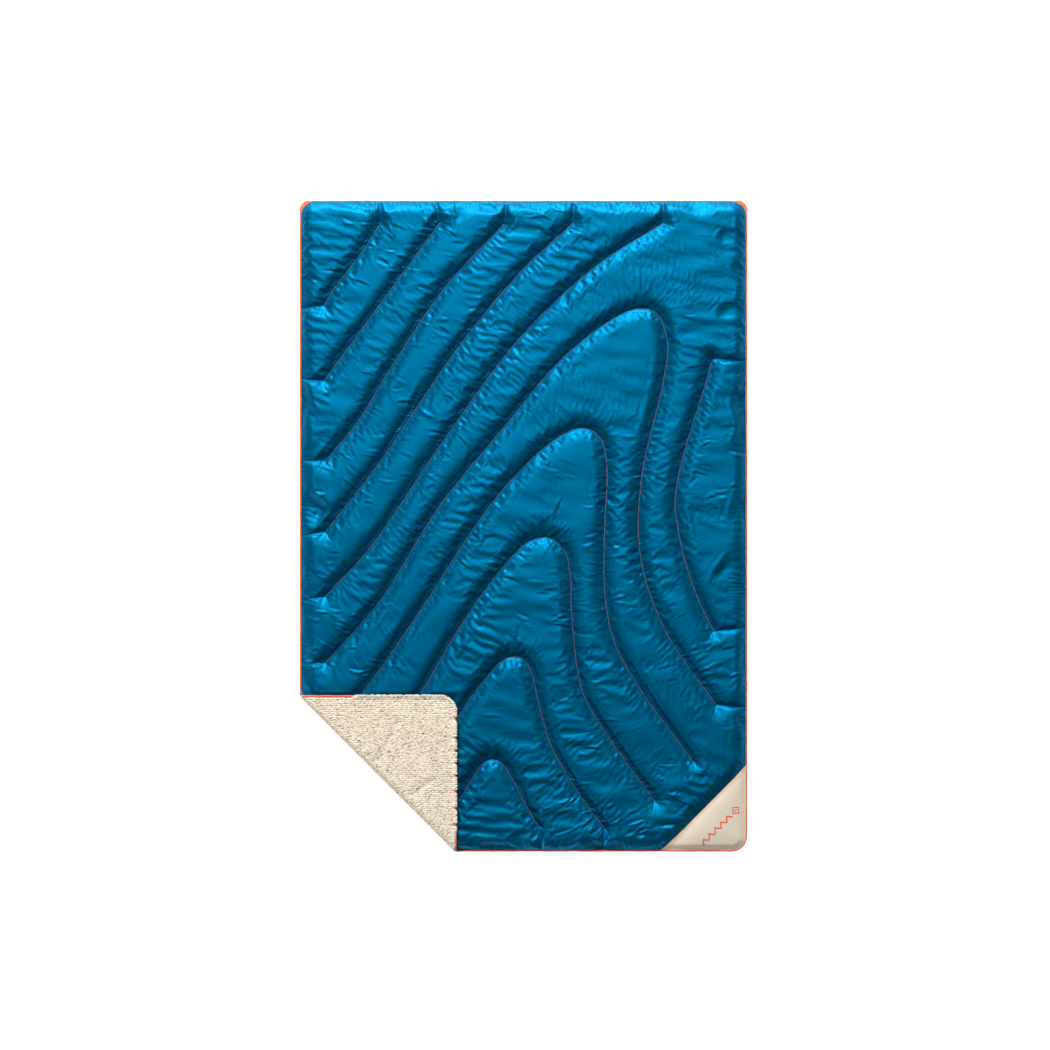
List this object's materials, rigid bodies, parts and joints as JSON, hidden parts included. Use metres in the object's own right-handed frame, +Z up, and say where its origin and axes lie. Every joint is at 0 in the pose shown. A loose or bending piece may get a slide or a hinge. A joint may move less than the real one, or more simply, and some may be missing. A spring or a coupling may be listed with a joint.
{
  "type": "camp blanket",
  "caption": "Quilted camp blanket with a glossy padded top, fleece underside, corded edge piping, a corner patch and corner loops, one corner folded back.",
  "frame": {"origin": "on the ground under the middle of the blanket, at the centre of its outline", "axes": "+X across the blanket's width, +Y along its length towards the edge with the corner loops, +Z up"},
  "size_m": [1.31, 1.905, 0.0484],
  "materials": {
    "shell": "satin",
    "fleece": "matte",
    "insulation": "matte",
    "piping": "satin",
    "piping_cord": "matte",
    "thread": "satin",
    "patch": "matte",
    "webbing": "matte"
  },
  "bodies": {
    "blanket": {"fleece_blanket": "fleece", "insulation_blanket": "insulation", "shell_blanket": "shell", "piping_cover_blanket": "piping", "piping_cord_blanket": "piping_cord", "quilt_thread_a_blanket": "thread", "quilt_thread_b_blanket": "thread", "quilt_thread_c_blanket": "thread", "quilt_thread_d_blanket": "thread", "quilt_thread_e_blanket": "thread", "quilt_thread_f_blanket": "thread", "quilt_thread_g_blanket": "thread", "quilt_thread_h_blanket": "thread", "quilt_thread_i_blanket": "thread", "quilt_thread_j_blanket": "thread", "quilt_thread_k_blanket": "thread", "corner_patch": "patch", "patch_hem_thread_1": "thread", "patch_hem_thread_2": "thread", "patch_zigzag": "thread", "patch_diamond": "thread", "corner_loop_left": "webbing", "corner_loop_right": "webbing"},
    "corner_flap": {"fleece_flap": "fleece", "insulation_flap": "insulation", "shell_flap": "shell", "piping_cover_flap": "piping", "piping_cord_flap": "piping_cord", "quilt_thread_h_flap": "thread", "quilt_thread_i_flap": "thread"}
  },
  "joints": [
    {"name": "corner_fold", "type": "hinge", "parent": "blanket", "child": "corner_flap", "pos_m": [-0.57375, -0.57375, 0.0242], "axis": [0.7071, -0.7071, 0], "range_deg": [0, 180]}
  ]
}
